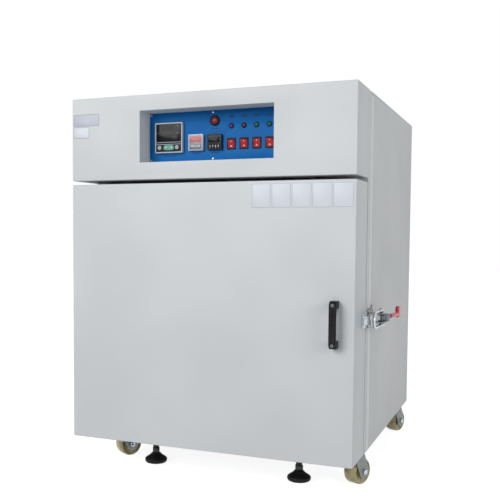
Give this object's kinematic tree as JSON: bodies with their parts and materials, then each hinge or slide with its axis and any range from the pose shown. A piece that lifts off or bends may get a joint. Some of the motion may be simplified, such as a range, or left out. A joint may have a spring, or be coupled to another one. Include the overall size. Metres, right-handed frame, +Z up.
{
  "type": "muffle furnace",
  "caption": "Floor-standing box muffle furnace with a side-hinged insulated door, recessed control panel, side toggle latch, casters and levelling feet.",
  "frame": {"origin": "on the floor under the middle of the whole part, with its latch, hinges, handle and vent spigot", "axes": "+X to the right seen from the front, +Y to the rear, +Z up; the door faces -Y"},
  "size_m": [0.9827, 1.055, 1.168],
  "materials": {
    "casing_paint": "satin",
    "panel_blue": "satin",
    "instrument_black": "matte",
    "instrument_clear": "gloss",
    "lamp_red": "gloss",
    "key_rubber": "matte",
    "refractory": "matte",
    "fibre": "matte",
    "seal_rope": "matte",
    "plain_steel": "satin",
    "zinc_plate": "satin",
    "bay_plastic": "matte",
    "handle_black": "matte",
    "grip_red": "gloss",
    "wheel_nylon": "satin",
    "foot_rubber": "matte"
  },
  "bodies": {
    "cabinet": {"base_pan": "casing_paint", "side_panel_left": "casing_paint", "side_panel_right": "casing_paint", "top_panel": "casing_paint", "rear_panel": "casing_paint", "front_frame": "casing_paint", "head_shell": "casing_paint", "recess_frame": "casing_paint", "control_panel": "panel_blue", "controller_case": "instrument_black", "hour_counter": "instrument_clear", "timer_case": "instrument_black", "signal_lamps": "lamp_red", "rocker_frames": "instrument_black", "chamber_lining": "refractory", "outer_insulation": "fibre", "bay_floor": "plain_steel", "heating_rods": "refractory", "rod_terminals": "plain_steel", "hearth_plate": "refractory", "vent_tube": "plain_steel", "thermocouple": "plain_steel", "cable_gland": "plain_steel", "bay_equipment": "bay_plastic", "hinge_cabinet": "plain_steel", "latch_base": "zinc_plate", "caster_plates": "zinc_plate"},
    "door": {"door_skin": "casing_paint", "door_liner": "plain_steel", "door_refractory": "fibre", "door_seal": "seal_rope", "door_handle": "handle_black", "handle_screws": "plain_steel", "hinge_door": "plain_steel", "latch_keeper": "zinc_plate"},
    "latch_lever": {"latch_lever": "zinc_plate", "latch_grip": "grip_red"},
    "latch_hook": {"latch_hook": "zinc_plate"},
    "rocker_1": {"rocker_1": "lamp_red"},
    "rocker_2": {"rocker_2": "lamp_red"},
    "rocker_3": {"rocker_3": "lamp_red"},
    "rocker_4": {"rocker_4": "lamp_red"},
    "controller_key_1": {"controller_key_1": "key_rubber"},
    "controller_key_2": {"controller_key_2": "key_rubber"},
    "controller_key_3": {"controller_key_3": "key_rubber"},
    "controller_key_4": {"controller_key_4": "key_rubber"},
    "timer_wheel_1": {"timer_wheel_1": "instrument_black"},
    "timer_wheel_2": {"timer_wheel_2": "instrument_black"},
    "timer_wheel_3": {"timer_wheel_3": "instrument_black"},
    "timer_wheel_4": {"timer_wheel_4": "instrument_black"},
    "caster_front_right": {"caster_fork_front_right": "zinc_plate"},
    "wheel_front_right": {"caster_wheel_front_right": "wheel_nylon"},
    "caster_front_left": {"caster_fork_front_left": "zinc_plate"},
    "wheel_front_left": {"caster_wheel_front_left": "wheel_nylon"},
    "caster_rear_right": {"caster_fork_rear_right": "zinc_plate"},
    "wheel_rear_right": {"caster_wheel_rear_right": "wheel_nylon"},
    "caster_rear_left": {"caster_fork_rear_left": "zinc_plate"},
    "wheel_rear_left": {"caster_wheel_rear_left": "wheel_nylon"},
    "levelling_foot_left": {"levelling_foot_left": "foot_rubber"},
    "levelling_foot_right": {"levelling_foot_right": "foot_rubber"}
  },
  "joints": [
    {"name": "door_hinge", "type": "hinge", "parent": "cabinet", "child": "door", "pos_m": [-0.48367, -0.34, 0], "axis": [0, 0, -1], "range_deg": [0, 110]},
    {"name": "latch_lever_swing", "type": "hinge", "parent": "cabinet", "child": "latch_lever", "pos_m": [0.46133, -0.2845, 0.509], "axis": [0, 0, -1], "range_deg": [0, 150]},
    {"name": "latch_hook_swing", "type": "hinge", "parent": "latch_lever", "child": "latch_hook", "pos_m": [0.45558, -0.26334, 0.509], "axis": [0, 0, -1], "range_deg": [-150, 0]},
    {"name": "rocker_1_tip", "type": "hinge", "parent": "cabinet", "child": "rocker_1", "pos_m": [0.03463, -0.4195, 1.0197], "axis": [-1, 0, 0], "range_deg": [0, 16]},
    {"name": "rocker_2_tip", "type": "hinge", "parent": "cabinet", "child": "rocker_2", "pos_m": [0.07444, -0.4195, 1.0197], "axis": [-1, 0, 0], "range_deg": [0, 16]},
    {"name": "rocker_3_tip", "type": "hinge", "parent": "cabinet", "child": "rocker_3", "pos_m": [0.11424, -0.4195, 1.0197], "axis": [-1, 0, 0], "range_deg": [0, 16]},
    {"name": "rocker_4_tip", "type": "hinge", "parent": "cabinet", "child": "rocker_4", "pos_m": [0.15404, -0.4195, 1.0197], "axis": [-1, 0, 0], "range_deg": [0, 16]},
    {"name": "controller_key_1_press", "type": "slide", "parent": "cabinet", "child": "controller_key_1", "axis": [0, 1, 0], "range_m": [0, 0.0008], "stiffness_N_per_m": 1500},
    {"name": "controller_key_2_press", "type": "slide", "parent": "cabinet", "child": "controller_key_2", "axis": [0, 1, 0], "range_m": [0, 0.0008], "stiffness_N_per_m": 1500},
    {"name": "controller_key_3_press", "type": "slide", "parent": "cabinet", "child": "controller_key_3", "axis": [0, 1, 0], "range_m": [0, 0.0008], "stiffness_N_per_m": 1500},
    {"name": "controller_key_4_press", "type": "slide", "parent": "cabinet", "child": "controller_key_4", "axis": [0, 1, 0], "range_m": [0, 0.0008], "stiffness_N_per_m": 1500},
    {"name": "timer_wheel_1_turn", "type": "hinge", "parent": "cabinet", "child": "timer_wheel_1", "pos_m": [-0.02967, -0.4225, 1.0133], "axis": [1, 0, 0], "continuous": true},
    {"name": "timer_wheel_2_turn", "type": "hinge", "parent": "cabinet", "child": "timer_wheel_2", "pos_m": [-0.02066, -0.4225, 1.0133], "axis": [1, 0, 0], "continuous": true},
    {"name": "timer_wheel_3_turn", "type": "hinge", "parent": "cabinet", "child": "timer_wheel_3", "pos_m": [-0.01167, -0.4225, 1.0133], "axis": [1, 0, 0], "continuous": true},
    {"name": "timer_wheel_4_turn", "type": "hinge", "parent": "cabinet", "child": "timer_wheel_4", "pos_m": [-0.00266, -0.4225, 1.0133], "axis": [1, 0, 0], "continuous": true},
    {"name": "caster_front_right_swivel", "type": "hinge", "parent": "cabinet", "child": "caster_front_right", "pos_m": [0.37134, -0.2975, 0.11], "axis": [0, 0, 1], "continuous": true},
    {"name": "caster_front_right_roll", "type": "hinge", "parent": "caster_front_right", "child": "wheel_front_right", "pos_m": [0.38909, -0.25944, 0.04], "axis": [0.9063, -0.4226, 0], "continuous": true},
    {"name": "caster_front_left_swivel", "type": "hinge", "parent": "cabinet", "child": "caster_front_left", "pos_m": [-0.41767, -0.2975, 0.11], "axis": [0, 0, 1], "continuous": true},
    {"name": "caster_front_left_roll", "type": "hinge", "parent": "caster_front_left", "child": "wheel_front_left", "pos_m": [-0.39418, -0.26268, 0.04], "axis": [0.829, -0.5592, 0], "continuous": true},
    {"name": "caster_rear_right_swivel", "type": "hinge", "parent": "cabinet", "child": "caster_rear_right", "pos_m": [0.37134, 0.4075, 0.11], "axis": [0, 0, 1], "continuous": true},
    {"name": "caster_rear_right_roll", "type": "hinge", "parent": "caster_rear_right", "child": "wheel_rear_right", "pos_m": [0.3857, 0.44697, 0.04], "axis": [0.9397, -0.342, 0], "continuous": true},
    {"name": "caster_rear_left_swivel", "type": "hinge", "parent": "cabinet", "child": "caster_rear_left", "pos_m": [-0.41767, 0.4075, 0.11], "axis": [0, 0, 1], "continuous": true},
    {"name": "caster_rear_left_roll", "type": "hinge", "parent": "caster_rear_left", "child": "wheel_rear_left", "pos_m": [-0.3986, 0.44492, 0.04], "axis": [0.891, -0.454, 0], "continuous": true},
    {"name": "levelling_foot_left_screw", "type": "slide", "parent": "cabinet", "child": "levelling_foot_left", "axis": [0, 0, 1], "range_m": [-0.008, 0.02]},
    {"name": "levelling_foot_right_screw", "type": "slide", "parent": "cabinet", "child": "levelling_foot_right", "axis": [0, 0, 1], "range_m": [-0.008, 0.02]}
  ],
  "couplings": [
    {"joint": "latch_hook_swing", "follows": "latch_lever_swing", "ratio": -1}
  ]
}
